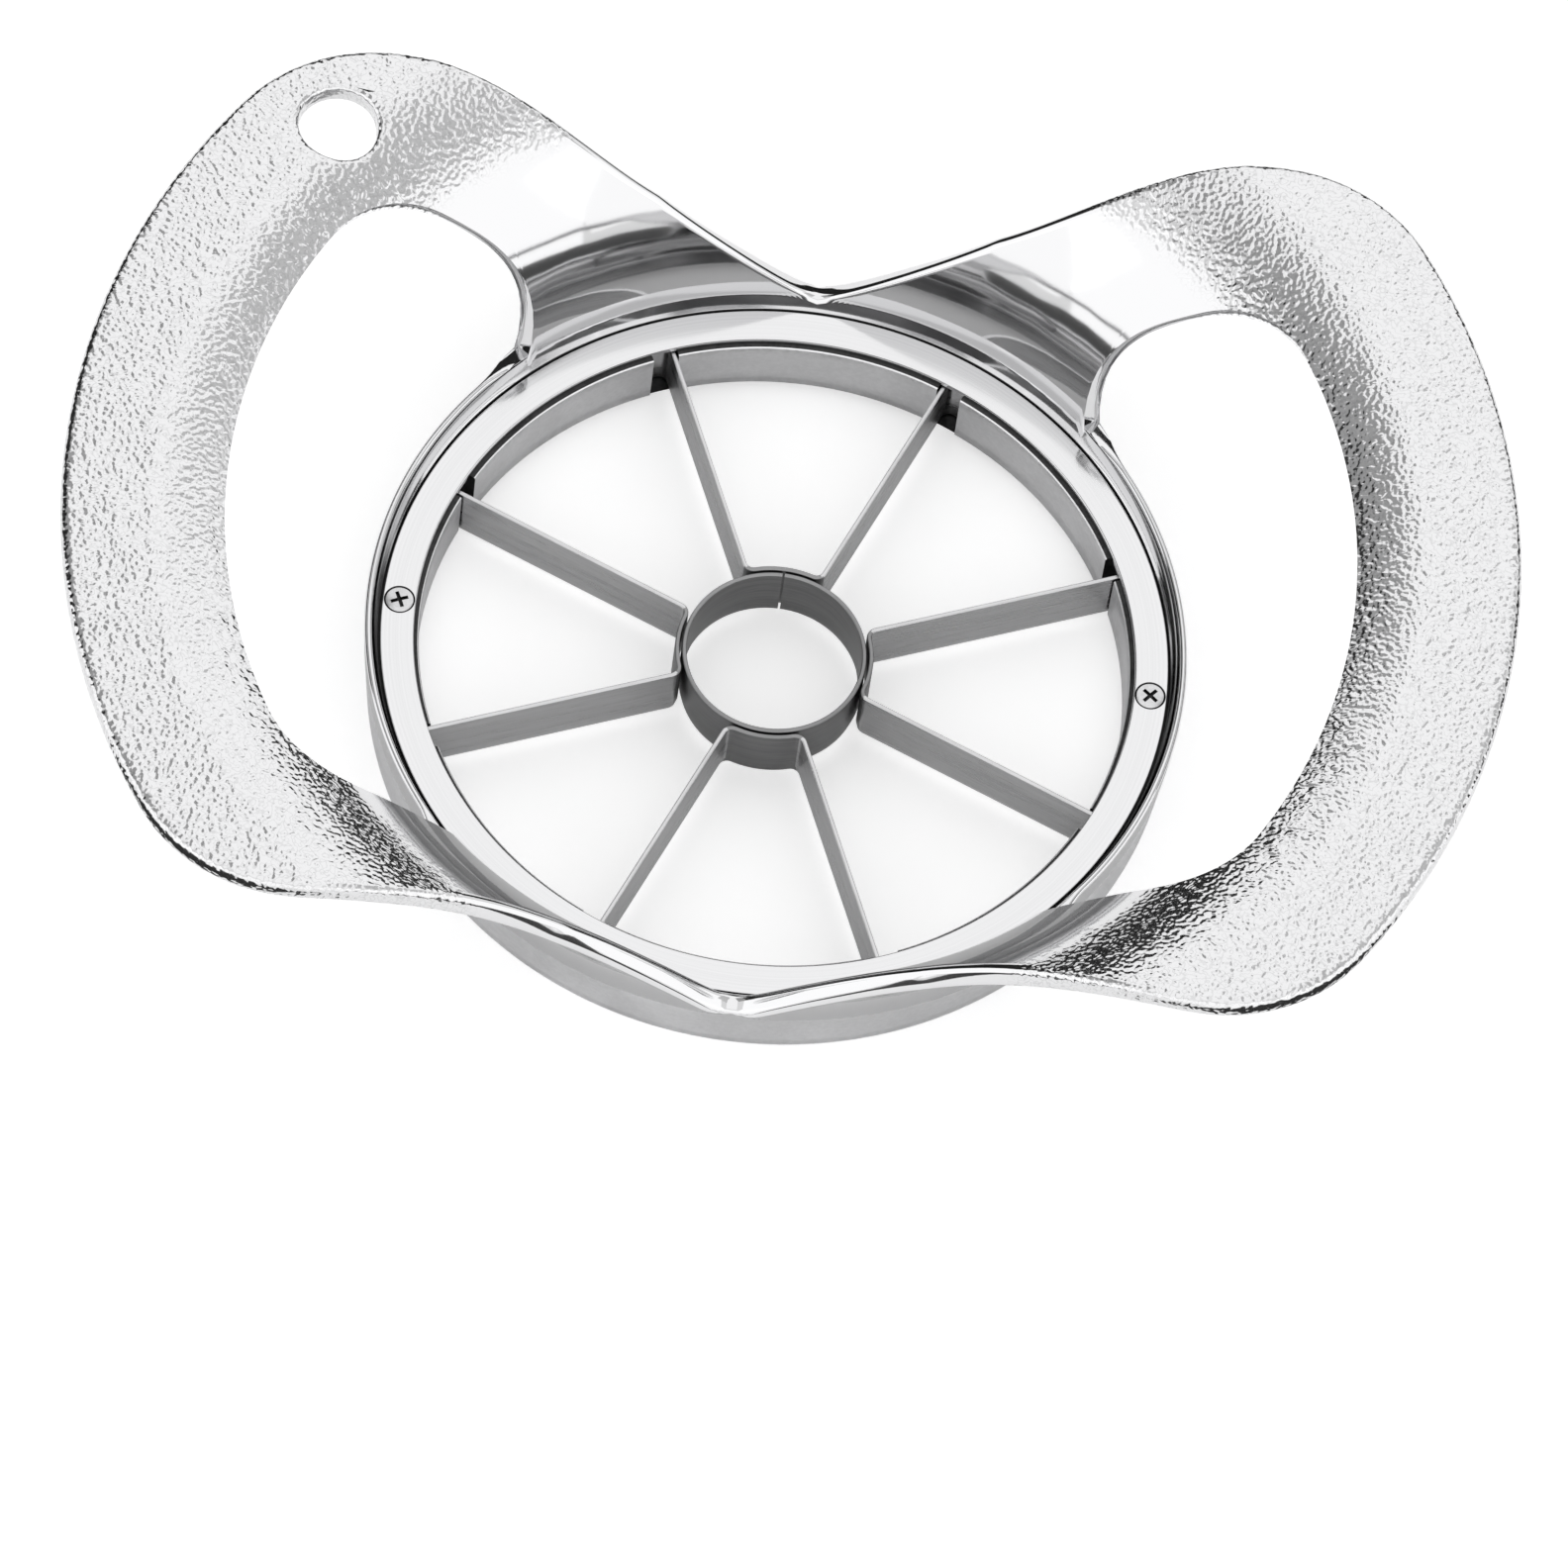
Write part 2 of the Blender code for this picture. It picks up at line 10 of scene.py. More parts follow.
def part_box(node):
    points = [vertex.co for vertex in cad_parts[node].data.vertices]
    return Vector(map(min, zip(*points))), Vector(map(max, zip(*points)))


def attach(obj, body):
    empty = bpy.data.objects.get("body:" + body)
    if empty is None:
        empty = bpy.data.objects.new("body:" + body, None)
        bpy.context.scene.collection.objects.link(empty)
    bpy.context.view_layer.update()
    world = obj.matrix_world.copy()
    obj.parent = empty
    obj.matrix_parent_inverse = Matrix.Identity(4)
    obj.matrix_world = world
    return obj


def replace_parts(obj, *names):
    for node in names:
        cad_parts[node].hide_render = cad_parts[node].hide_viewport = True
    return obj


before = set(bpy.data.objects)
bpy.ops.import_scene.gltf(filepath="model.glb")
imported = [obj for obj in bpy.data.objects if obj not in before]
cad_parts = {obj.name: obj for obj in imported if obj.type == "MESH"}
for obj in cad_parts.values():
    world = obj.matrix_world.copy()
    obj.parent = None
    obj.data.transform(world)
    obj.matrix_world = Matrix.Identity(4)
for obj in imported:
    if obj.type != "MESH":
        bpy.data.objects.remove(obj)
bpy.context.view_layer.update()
scene = bpy.context.scene

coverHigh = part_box("retaining_ring")[1]
stripLow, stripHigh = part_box("blade_strip_right")
ringTop = coverHigh.z
screwX = (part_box("screw_right")[0].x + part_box("screw_right")[1].x) / 2
mergeGap = 0.000002  # points this near are one
print("frame loaded, cover top at", round(ringTop, 5))


# Small helpers
def newObject(name, shape, materials):
    mesh = bpy.data.meshes.new(name)
    shape.to_mesh(mesh)
    shape.free()
    for material in materials:
        mesh.materials.append(material)
    mesh.shade_smooth()
    obj = bpy.data.objects.new(name, mesh)
    scene.collection.objects.link(obj)
    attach(obj, "root")
    return obj


def mix(first, second, share):
    return tuple(a + (b - a) * share for a, b in zip(first, second))


def smoothStep(low, high, value):
    share = min(max((value - low) / (high - low), 0), 1)
    return share * share * (3 - 2 * share)


def around(center, radius, start, end, steps):
    points = []
    for i in range(steps + 1):
        angle = start + (end - start) * i / steps
        points.append((center[0] + radius * math.cos(angle), center[1] + radius * math.sin(angle)))
    return points


def spaced(points, steps):
    # steps + 1 points at even distances along a line of points
    lengths = [0]
    for first, second in zip(points, points[1:]):
        lengths.append(lengths[-1] + math.dist(first, second))
    made = []
    k = 0
    for i in range(steps + 1):
        wanted = lengths[-1] * i / steps
        while k < len(points) - 2 and lengths[k + 1] < wanted:
            k += 1
        share = (wanted - lengths[k]) / (lengths[k + 1] - lengths[k])
        made.append(mix(points[k], points[k + 1], share))
    return made


def turnAround(profile, steps, closed):
    # a profile of radius and height turned once round the upright axis
    shape = bmesh.new()
    verts = []
    for radius, height in profile:
        verts += bmesh.ops.create_vert(shape, co=(radius, 0, height))["vert"]
    pairs = list(zip(verts, verts[1:] + verts[:1]))
    edges = [shape.edges.new(pair) for pair in (pairs if closed else pairs[:-1])]
    bmesh.ops.spin(
        shape,
        geom=verts + edges,
        cent=(0, 0, 0),
        axis=(0, 0, 1),
        angle=2 * math.pi,
        steps=steps,
        use_merge=True,
    )
    bmesh.ops.holes_fill(shape, edges=[edge for edge in shape.edges if edge.is_boundary], sides=0)
    bmesh.ops.recalc_face_normals(shape, faces=shape.faces)
    return shape


def roundCutter(shape, place, radii, low, high, sides):
    # adds a standing cone or cylinder to a shape that cuts
    middle = Matrix.Translation((*place, (low + high) / 2))
    bmesh.ops.create_cone(
        shape,
        cap_ends=True,
        segments=sides,
        radius1=radii[0],
        radius2=radii[1],
        depth=high - low,
        matrix=middle,
    )


def boxCutter(shape, place, size):
    bmesh.ops.create_cube(shape, size=1, matrix=place @ Matrix.Diagonal((*size, 1)))


def openEdges(shape):
    return sum(edge.is_boundary for edge in shape.edges)


def carve(obj, shape, materialIndex):
    # cuts a shape out of a piece and keeps what is left as its mesh
    for face in shape.faces:
        face.material_index = materialIndex
    bmesh.ops.recalc_face_normals(shape, faces=shape.faces)
    mesh = bpy.data.meshes.new("cutter")
    shape.to_mesh(mesh)
    shape.free()
    cutter = bpy.data.objects.new("cutter", mesh)
    scene.collection.objects.link(cutter)
    modifier = obj.modifiers.new("carve", "BOOLEAN")
    modifier.solver = "EXACT"
    modifier.object = cutter
    graph = bpy.context.evaluated_depsgraph_get()
    obj.data = bpy.data.meshes.new_from_object(obj.evaluated_get(graph))
    obj.modifiers.clear()
    bpy.data.objects.remove(cutter)
    check = bmesh.new()
    check.from_mesh(obj.data)
    # Slivers beside the cut go
    bmesh.ops.dissolve_degenerate(check, dist=mergeGap, edges=check.edges)
    check.to_mesh(obj.data)
    print("carved", obj.name, len(check.faces), "faces, open edges", openEdges(check))
    check.free()


# The cast frame
cast = {
    "lip": (0.05062, 0.0000),  # radius and height over the cover's top
    "base": (0.0516, 0.0020),
    "crest": (0.0805, 0.0323),
    "wallTop": (0.0522, -0.0015),
    "underBase": (0.0544, 0.0010),
    "underCrest": (0.0805, 0.0293),
    "power": 1.7,
    "reach": 0.0445,  # way along the flare from its base to its crest
    "band": 0.0022,
    "halfWall": 0.0015,
    "edgeRound": 0.0010,
    "openingRound": 0.0006,
    "bore": 0.0453,
    "boreChamfer": 0.0016,
    "foot": 0.0515,
    "ledgeDrop": 0.0011,
    "smallRound": 0.0002,
    "rimRadius": 0.0524,
    "rimInner": 0.05145,
    "rimRise": 0.0030,
    "rimWidest": 0.0532,
    "rimSwell": 1.3,  # power by which the low rim's inner side rises
    "seatDepth": 0.0013,  # how far under the cover's top its seat is painted dark as shade
    "sharp": math.radians(50),
}
handle = {
    "endRadius": 0.0915,
    "cornerRadius": 0.0225,
    "halfDepth": 0.0614,
    "shoulderStart": 0.0220,
    "shoulderSlope": 0.08,
    "valleyRise": 0.0015,
    "valleySlope": 0.77,
    "lineSteps": (120, 80, 100),  # on the end, the corner and the shoulder
}
opening = {
    "endRadius": 0.0720,
    "halfDepth": 0.0434,
    "cornerRadius": 0.0156,
    "heelStart": 0.0452,  # X where the straight far side bends down to the heel
    "heelTurn": math.radians(43.6),  # where the heel runs into the rim's side
    "heelPull": (0.0090, 0.0050),
    "sheetFrom": 0.0310,  # Y where the low rim starts to turn into the flare
    "sheetTo": 0.0392,
    "footSlip": 0.0012,  # least turn of the lip from row to row past the heel, in radians
    "lineSteps": (80, 60, 80, 80),  # on the end, the corner, the heel and the ring's side
}
fineness = {
    "shoulder": 74,  # rows along the shoulder, the grip and the low rim
    "grip": 86,
    "rim": 54,
    "upper": (30, 40),  # steps across the sheet, inside and outside the seam
    "under": (12, 20),
    "round": 4,
    "face": 2,
}


def quadrant(start, end, turn):
    bend = 2 / cast["power"]
    out = 1 - max(math.cos(turn), 0) ** bend
    up = math.sin(turn) ** bend
    return start[0] + (end[0] - start[0]) * out, start[1] + (end[1] - start[1]) * up


def sheetSide(along, foot, base, crest):
    if along < 0:
        return mix(foot, base, 1 + along / cast["band"])
    turn = min(along / cast["reach"], 1) * math.pi / 2
    radius, rise = quadrant(base, crest, turn)
    return radius + max(0, along - cast["reach"]), rise


def spacePoint(angle, radius, rise):
    return Vector((radius * math.cos(angle), radius * math.sin(angle), ringTop + rise))


def sheetPoint(angle, along, across):
    # along is measured up the flare from its base, across runs from -1 underneath to 1 on top
    upper = sheetSide(along, cast["lip"], cast["base"], cast["crest"])
    under = sheetSide(along, cast["wallTop"], cast["underBase"], cast["underCrest"])
    return spacePoint(angle, *mix(under, upper, (1 + across) / 2))


def sheetPlace(point):
    # angle and way along the flare of a point in plan, on the middle of the sheet
    radius = math.hypot(*point)
    middle = (cast["base"][0] + cast["underBase"][0]) / 2
    crest = cast["crest"][0]
    if radius >= crest:
        return math.atan2(point[1], point[0]), cast["reach"] + radius - crest
    out = max(0, (radius - middle) / (crest - middle))
    turn = math.acos((1 - out) ** (cast["power"] / 2))
    return math.atan2(point[1], point[0]), cast["reach"] * turn * 2 / math.pi


def tangentCorner(endRadius, halfDepth, cornerRadius):
    y = halfDepth - cornerRadius
    return math.sqrt((endRadius - cornerRadius) ** 2 - y * y), y


def valleyDepth(x):
    base = (cast["base"][1] + cast["underBase"][1]) / 2
    top = (cast["crest"][1] + cast["underCrest"][1]) / 2
    middle = (cast["base"][0] + cast["underBase"][0]) / 2
    rise = math.hypot(handle["valleySlope"] * x, handle["valleyRise"])
    share = max(0, rise - base) / (top - base)
    inner = (1 - share ** cast["power"]) ** (1 / cast["power"])
    radius = cast["crest"][0] - (cast["crest"][0] - middle) * inner
    return math.sqrt(radius * radius - x * x)


def outerLine():
    # plan of the outer edge from the tip of a handle to the middle of the valley
    corner = tangentCorner(handle["endRadius"], handle["halfDepth"], handle["cornerRadius"])
    tilt = math.atan2(corner[1], corner[0])
    endSteps, cornerSteps, steps = handle["lineSteps"]
    line = around((0, 0), handle["endRadius"], 0, tilt, endSteps)
    line += around(corner, handle["cornerRadius"], tilt, math.pi / 2, cornerSteps)[1:]
    start = handle["shoulderStart"]
    length = corner[0] - start
    low = valleyDepth(start)
    for i in range(1, steps):
        share = 1 - i / steps
        lead = handle["shoulderSlope"] * length * share * (1 - share) ** 2
        y = low + (handle["halfDepth"] - low) * smoothStep(0, 1, share) + lead
        line.append((start + length * share, y))
    for i in range(steps + 1):
        x = start * (1 - i / steps)
        line.append((x, valleyDepth(x)))
    return line


def openingLine():
    # plan of a finger opening from its outer end round the heel to the ring's side
    corner = tangentCorner(opening["endRadius"], opening["halfDepth"], opening["cornerRadius"])
    tilt = math.atan2(corner[1], corner[0])
    start = Vector((opening["heelStart"], opening["halfDepth"]))
    turn = opening["heelTurn"]
    foot = Vector((math.cos(turn), math.sin(turn))) * cast["rimRadius"]
    leave = start - Vector((opening["heelPull"][0], 0))
    arrive = foot + Vector((-math.sin(turn), math.cos(turn))) * opening["heelPull"][1]
    endSteps, cornerSteps, heelSteps, sideSteps = opening["lineSteps"]
    line = around((0, 0), opening["endRadius"], 0, tilt, endSteps)
    line += around(corner, opening["cornerRadius"], tilt, math.pi / 2, cornerSteps)[1:]
    line += [tuple(point) for point in interpolate_bezier(start, leave, arrive, foot, heelSteps)]
    line += around((0, 0), cast["rimRadius"], turn, 0, sideSteps)[1:]
    return line


def placeWithNormal(line, i, side):
    # place of a point of an edge line on the sheet, with the direction square to the edge
    angle, along = sheetPlace(line[i])
    before = sheetPlace(line[max(i - 1, 0)])
    after = sheetPlace(line[min(i + 1, len(line) - 1)])
    radius = math.hypot(*line[i])
    step = Vector(((after[0] - before[0]) * radius, after[1] - before[1]))
    if i == len(line) - 1:
        step.y = 0  # the line meets its mirror plane squarely
    step.normalize()
    return angle, along, -step.y * side / radius, step.x * side


def edgeChain(place, size):
    # rounded edge of the sheet from its upper to its under side, on the line of the place
    angle, along, turnPerMetre, alongPerMetre = place
    steps = fineness["round"]
    corner = size / cast["halfWall"]
    rows = []
    for i in range(steps + 1):
        turn = math.pi / 2 * i / steps
        rows.append((size * (1 - math.sin(turn)), 1 - corner * (1 - math.cos(turn))))
    for i in range(1, fineness["face"]):
        rows.append((0, (1 - corner) * (1 - 2 * i / fineness["face"])))
    rows += [(inside, -across) for inside, across in rows[steps::-1]]
    return [
        sheetPoint(angle + turnPerMetre * inside, along + alongPerMetre * inside, across)
        for inside, across in rows
    ]


def insidePlace(place, size):
    return place[0] + place[2] * size, place[1] + place[3] * size


def sheetRow(start, end, steps, across):
    points = []
    for i in range(steps + 1):
        angle, along = mix(start, end, i / steps)
        points.append(sheetPoint(angle, along, across))
    return points


def bodyRow(angle):
    # ring wall, foot, bore, ledge and lip, from under the flare round to the lip
    low = -ringTop
    small = cast["smallRound"]
    bore = cast["bore"]
    ledge = -cast["ledgeDrop"]
    lip = cast["lip"]
    # Each corner stands with the steps to the next one
    corners = [
        (cast["wallTop"], 5),
        ((cast["foot"], low + small), 1),
        ((cast["foot"] - small, low), 2),
        ((bore + cast["boreChamfer"], low), 1),
        ((bore, low + cast["boreChamfer"]), 3),
        ((bore, ledge - small), 1),
        ((bore + small, ledge), 2),
        ((lip[0] - small / 2, ledge), 1),
        ((lip[0] - small / 2, lip[1] - small), 1),
        (lip, 0),
    ]
    points = []
    for (start, steps), (end, _) in zip(corners, corners[1:]):
        points += [mix(start, end, i / steps) for i in range(steps)]
    return [spacePoint(angle, *point) for point in points[1:]]


def lowRimRow(angle, outside):
    # low rim beside a finger opening, from the lip over the top to the wall
    upperSteps = fineness["upper"][0]
    underSteps = fineness["under"][0]
    chainSteps = 2 * fineness["round"] + fineness["face"]
    half = (outside - cast["rimInner"]) / 2
    middle = cast["rimInner"] + half
    shoulder = cast["rimRise"] - half
    points = []
    for i in range(upperSteps + 1):
        share = i / upperSteps
        out = math.sin(share * math.pi / 2)
        up = share ** cast["rimSwell"]
        radius = cast["lip"][0] + (cast["rimInner"] - cast["lip"][0]) * out
        points.append((radius, cast["lip"][1] + (shoulder - cast["lip"][1]) * up))
    for i in range(1, chainSteps + 1):
        turn = math.pi * (1 - i / chainSteps)
        points.append((middle + half * math.cos(turn), shoulder + half * math.sin(turn)))
    for i in range(1, underSteps + 1):
        points.append(mix((outside, shoulder), cast["wallTop"], i / underSteps))
    return [spacePoint(angle, *point) for point in points]


def gridOf(shape, rows, flatAxis=None):
    # a grid whose points are the rows; the last row lies on a mirror plane
    last = len(rows) - 1
    if flatAxis is not None:
        for point in rows[-1]:
            point[flatAxis] = 0
    width = len(rows[0]) - 1
    made = bmesh.ops.create_grid(shape, x_segments=width, y_segments=last, size=1)["verts"]
    for vert in made:
        column = round((vert.co.x + 1) / 2 * width)
        vert.co = rows[round((vert.co.y + 1) / 2 * last)][column]


def buildFrameMesh():
    edgeSize = cast["edgeRound"]
    openSize = cast["openingRound"]
    upperIn, upperOut = fineness["upper"]
    underIn, underOut = fineness["under"]
    outer = outerLine()
    inner = openingLine()
    # The heel point where a line from the axis just touches the rounded edge
    # parts the grip's side from the ring's side
    touch = 0
    most = 0
    for i in range(len(inner) - 1):
        angle = insidePlace(placeWithNormal(inner, i, -1), openSize)[0]
        if angle > most:
            touch, most = i, angle
    gripInner = spaced(inner[: touch + 1][::-1], fineness["grip"])
    rimInner = spaced(inner[touch:], fineness["rim"])
    split = insidePlace(placeWithNormal(inner, touch, -1), openSize)
    turns = [math.atan2(y, x) for x, y in outer]
    cut = min(range(len(outer)), key=lambda i: abs(turns[i] - split[0]))
    gripOuter = spaced(outer[: cut + 1][::-1], fineness["grip"])
    shoulderOuter = spaced(outer[cut:], fineness["shoulder"])
    seam = placeWithNormal(outer, cut, -1)
    heelSeam = placeWithNormal(inner, touch, -1)
    shape = bmesh.new()
    band = cast["band"]

    rows = []
    seamEnd = insidePlace(seam, edgeSize)
    seamShare = (split[1] + band) / (seamEnd[1] + band)
    for i in range(len(shoulderOuter)):
        place = seam if i == 0 else placeWithNormal(shoulderOuter, i, -1)
        end = insidePlace(place, edgeSize)
        foot = (split[0] if i == 0 else place[0], -band)
        middle = split if i == 0 else mix(foot, end, seamShare)
        row = sheetRow(foot, middle, upperIn, 1)[:-1] + sheetRow(middle, end, upperOut, 1)
        row += edgeChain(place, edgeSize)[1:-1]
        row += sheetRow(end, middle, underOut, -1)[:-1] + sheetRow(middle, foot, underIn, -1)
        row += bodyRow(foot[0])
        rows.append(row + row[:1])
    gridOf(shape, rows, 0)

    rows = []
    for i in range(len(gripInner)):
        outside = seam if i == 0 else placeWithNormal(gripOuter, i, 1)
        inside = heelSeam if i == 0 else placeWithNormal(gripInner, i, 1)
        start = insidePlace(inside, openSize)
        end = insidePlace(outside, edgeSize)
        row = sheetRow(start, end, upperOut, 1)
        row += edgeChain(outside, edgeSize)[1:-1]
        row += sheetRow(end, start, underOut, -1)
        row += edgeChain(inside, openSize)[1:-1][::-1]
        rows.append(row + row[:1])
    gridOf(shape, rows, 1)

    rows = []
    for i in range(len(rimInner)):
        inside = heelSeam if i == 0 else placeWithNormal(rimInner, i, -1)
        start = insidePlace(inside, openSize)
        foot = (min(start[0], split[0] - opening["footSlip"] * i), -band)
        share = smoothStep(opening["sheetFrom"], opening["sheetTo"], rimInner[i][1]) if i else 1
        row = sheetRow(foot, start, upperIn, 1)
        row += edgeChain(inside, openSize)[1:-1]
        row += sheetRow(start, foot, underIn, -1)
        lowRow = lowRimRow(foot[0], min(math.hypot(*rimInner[i]), cast["rimWidest"]))
        row = [a + (b - a) * share for a, b in zip(lowRow, row)]
        row += bodyRow(foot[0])
        rows.append(row + row[:1])
    gridOf(shape, rows, 1)

    bmesh.ops.remove_doubles(shape, verts=shape.verts, dist=mergeGap)
    for axis in "YX":
        half = shape.verts[:] + shape.edges[:] + shape.faces[:]
        bmesh.ops.mirror(shape, geom=half, axis=axis, merge_dist=mergeGap * 4)
    bmesh.ops.remove_doubles(shape, verts=shape.verts, dist=mergeGap)
    cutHangHole(shape)
    bmesh.ops.recalc_face_normals(shape, faces=shape.faces)
    print("frame mesh", len(shape.faces), "faces, open edges", openEdges(shape))
    return shape


hangHole = {
    "x": -0.0635,
    "y": 0.0496,
    "radius": 0.0050,
    "round": 0.0007,
    "margin": 0.0013,  # faces this near round it make way for its rim
    "steps": 64,
}


def cutHangHole(shape):
    center = Vector((hangHole["x"], hangHole["y"]))
    clear = hangHole["radius"] + hangHole["margin"]
    inside = [f for f in shape.faces if (f.calc_center_median().xy - center).length < clear]
    bmesh.ops.delete(shape, geom=inside, context="FACES")
    rims = [e for e in shape.edges if e.is_boundary]
    split = ringTop + (cast["crest"][1] + cast["underCrest"][1]) / 2
    upper = [e for e in rims if e.verts[0].co.z > split]
    under = [e for e in rims if e.verts[0].co.z <= split]
    size = hangHole["round"]
    steps = hangHole["steps"]
    corner = size / cast["halfWall"]
    rows = []
    for i in range(steps + 1):
        turn = 2 * math.pi * i / steps
        row = []
        for k in range(2 * fineness["round"] + 2):
            if k <= fineness["round"]:
                bend = math.pi / 2 * k / fineness["round"]
                out, across = size * (1 - math.sin(bend)), 1 - corner * (1 - math.cos(bend))
            else:
                bend = math.pi / 2 * (2 * fineness["round"] + 1 - k) / fineness["round"]
                out, across = size * (1 - math.sin(bend)), -1 + corner * (1 - math.cos(bend))
            radius = hangHole["radius"] + out
            point = (center.x + radius * math.cos(turn), center.y + radius * math.sin(turn))
            row.append(sheetPoint(*sheetPlace(point), across))
        rows.append(row)
    before = set(shape.verts)
    gridOf(shape, rows)
    made = [v for v in shape.verts if v not in before]
    bmesh.ops.remove_doubles(shape, verts=made, dist=mergeGap)
    ends = [e for e in shape.edges if e.is_boundary and e not in rims]
    bmesh.ops.bridge_loops(shape, edges=upper + [e for e in ends if e.verts[0].co.z > split])
    bmesh.ops.bridge_loops(shape, edges=under + [e for e in ends if e.verts[0].co.z <= split])


# Finishes
def newMaterial(name):
    material = bpy.data.materials.new(name)
    material.use_nodes = True
    tree = material.node_tree
    return material, tree, tree.nodes["Principled BSDF"]


def addNode(tree, kind, **values):
    node = tree.nodes.new(kind)
    for key, value in values.items():
        setattr(node, key, value)
    return node


def objectPlace(tree):
    return addNode(tree, "ShaderNodeTexCoord").outputs["Object"]


def roundPlace(tree, place):
    # distance from the upright axis, for grain that runs round it
    parts = addNode(tree, "ShaderNodeSeparateXYZ")
    tree.links.new(place, parts.inputs[0])
    flat = addNode(tree, "ShaderNodeCombineXYZ")
    tree.links.new(parts.outputs["X"], flat.inputs["X"])
    tree.links.new(parts.outputs["Y"], flat.inputs["Y"])
    radius = addNode(tree, "ShaderNodeVectorMath", operation="LENGTH")
    tree.links.new(flat.outputs[0], radius.inputs[0])
    return radius.outputs["Value"], parts.outputs["Y"]


def combine(tree, operation, first, second):
    node = addNode(tree, "ShaderNodeMath", operation=operation)
    for socket, value in zip(node.inputs, (first, second)):
        if isinstance(value, (int, float)):
            socket.default_value = value
        else:
            tree.links.new(value, socket)
    return node.outputs[0]


def grain(tree, place, scale, detail, stretch=(1, 1, 1), distortion=0):
    vector = place
    if stretch != (1, 1, 1):
        mapping = addNode(tree, "ShaderNodeMapping")
        mapping.inputs["Scale"].default_value = stretch
        tree.links.new(place, mapping.inputs["Vector"])
        vector = mapping.outputs[0]
    noise = addNode(tree, "ShaderNodeTexNoise")
    noise.inputs["Scale"].default_value = scale
    noise.inputs["Detail"].default_value = detail
    noise.inputs["Distortion"].default_value = distortion
    tree.links.new(vector, noise.inputs["Vector"])
    return noise.outputs["Fac"]


def spread(tree, value, low, high, start=0.0, stop=1.0):
    node = addNode(tree, "ShaderNodeMapRange", interpolation_type="SMOOTHSTEP")
    limits = {"From Min": start, "From Max": stop, "To Min": low, "To Max": high}
    for name, number in limits.items():
        node.inputs[name].default_value = number
    tree.links.new(value, node.inputs["Value"])
    return node.outputs["Result"]


coolness = 1.01  # share of blue over red and green in every metal


def tint(tree, value, dark, light, socket):
    node = addNode(tree, "ShaderNodeMix", data_type="RGBA")
    node.inputs[6].default_value = (dark, dark, dark * coolness, 1)
    node.inputs[7].default_value = (light, light, light * coolness, 1)
    tree.links.new(value, node.inputs[0])
    tree.links.new(node.outputs[2], socket)


def relief(tree, height, depth, strength=None, under=None):
    node = addNode(tree, "ShaderNodeBump")
    node.inputs["Distance"].default_value = depth
    tree.links.new(height, node.inputs["Height"])
    if strength:
        tree.links.new(strength, node.inputs["Strength"])
    if under:
        tree.links.new(under, node.inputs["Normal"])
    return node.outputs["Normal"]


chromeLook = {
    "from": 0.0640,  # radius where the hammered surface starts
    "to": 0.0680,
    "ragged": 0.003,  # how far that border wanders
    "borderGrain": (220, 2),  # scale and detail
    "wave": (75, 1.5, 0.00016),  # scale, detail and depth of the slow waves
    "pebble": 1250,
    "pebbleSmooth": 0.5,
    "pebbleShare": 0.6,
    "worm": (1700, 0),
    "wormMiddle": 0.5,
    "depth": 0.00011,
    "lines": (0.0, 0.09),  # so near the middle height the hammering has thin darker bands: painted shade that stands in for its reflections
    "wormShadeStrength": 0.16,
    # dark is the tone of the painted shade where it is full
    "dark": 0.04,
    "light": 0.67,
    "smoothRough": 0.07,
    "hammerRough": 0.14,
    "grooveShade": (0.05105, 0.05140),  # inner face of the low rims, painted dark in the base colour as shade
    "grooveShadeSpan": (0.018, 0.028),
    "grooveShadeMiddle": 0.016,
}


def castChrome():
    look = chromeLook
    material, tree, shader = newMaterial("castChrome")
    shader.inputs["Metallic"].default_value = 1
    place = objectPlace(tree)
    radius, sideways = roundPlace(tree, place)
    slow = grain(tree, place, *look["borderGrain"])
    edge = combine(tree, "ADD", radius, combine(tree, "MULTIPLY", slow, look["ragged"]))
    middle = look["ragged"] / 2
    hammered = spread(tree, edge, 0, 1, look["from"] + middle, look["to"] + middle)
    pebble = addNode(tree, "ShaderNodeTexVoronoi", feature="SMOOTH_F1")
    pebble.inputs["Scale"].default_value = look["pebble"]
    pebble.inputs["Smoothness"].default_value = look["pebbleSmooth"]
    tree.links.new(place, pebble.inputs["Vector"])
    domes = combine(tree, "MULTIPLY", pebble.outputs["Distance"], pebble.outputs["Distance"])
    worm = grain(tree, place, *look["worm"])
    hammer = combine(tree, "SUBTRACT", worm, combine(tree, "MULTIPLY", domes, look["pebbleShare"]))
    scale, detail, depth = look["wave"]
    normal = relief(tree, grain(tree, place, scale, detail), depth)
    normal = relief(tree, hammer, look["depth"], hammered, normal)
    tree.links.new(normal, shader.inputs["Normal"])
    rough = spread(tree, hammered, look["smoothRough"], look["hammerRough"])
    tree.links.new(rough, shader.inputs["Roughness"])
    # painted shade on the low rims' inner face, full near the middle of each low rim and fading
    # towards its ends
    away = combine(tree, "ABSOLUTE", combine(tree, "ADD", sideways, look["grooveShadeMiddle"]), 0)
    grooveShade = spread(tree, radius, 1, 0, *look["grooveShade"])
    grooveShade = combine(tree, "MULTIPLY", grooveShade, spread(tree, away, 1, 0, *look["grooveShadeSpan"]))
    # painted shade in thin bands near the middle height of the worm pattern, only where hammered
    height = combine(tree, "ABSOLUTE", combine(tree, "SUBTRACT", worm, look["wormMiddle"]), 0)
    lines = spread(tree, height, look["wormShadeStrength"], 0, *look["lines"])
    lines = combine(tree, "MULTIPLY", lines, hammered)
    # the base colour takes both painted shades, on the rims' inner face and in the worm bands
    paintedShade = combine(tree, "MAXIMUM", grooveShade, lines)
    tint(tree, paintedShade, look["light"], look["dark"], shader.inputs["Base Color"])
    return material


